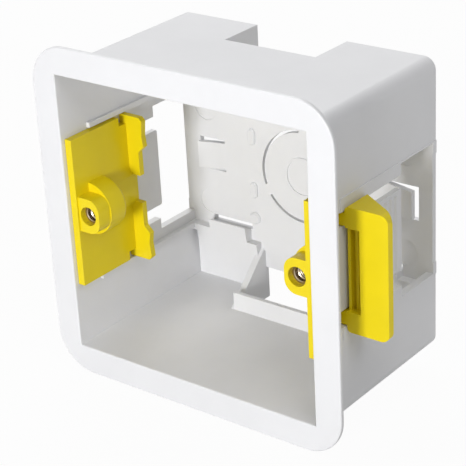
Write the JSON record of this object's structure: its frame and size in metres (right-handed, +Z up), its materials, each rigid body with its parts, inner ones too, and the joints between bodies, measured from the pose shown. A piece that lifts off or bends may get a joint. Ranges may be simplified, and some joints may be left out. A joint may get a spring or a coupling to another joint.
{
  "type": "drywall back box",
  "caption": "Square dry lining back box with a flange, side windows with sliding board clamps, screw bosses, cable entries and a rear knockout.",
  "frame": {"origin": "midway between the fronts of the two faceplate thread inserts", "axes": "+X right, +Y into the wall, +Z up, seen from the room"},
  "size_m": [0.0968, 0.0482, 0.084],
  "materials": {
    "housing": "satin",
    "clamp": "semi gloss",
    "insert": "machined"
  },
  "bodies": {
    "housing": {"back_box": "housing"},
    "left_side": {"left_clamp": "clamp", "left_thread_insert": "insert"},
    "right_side": {"right_clamp": "clamp", "right_thread_insert": "insert"}
  },
  "joints": [
    {"name": "left_clamp_slide", "type": "slide", "parent": "housing", "child": "left_side", "axis": [0, 1, 0], "range_m": [0, 0.02]},
    {"name": "right_clamp_slide", "type": "slide", "parent": "housing", "child": "right_side", "axis": [0, 1, 0], "range_m": [0, 0.02]}
  ]
}
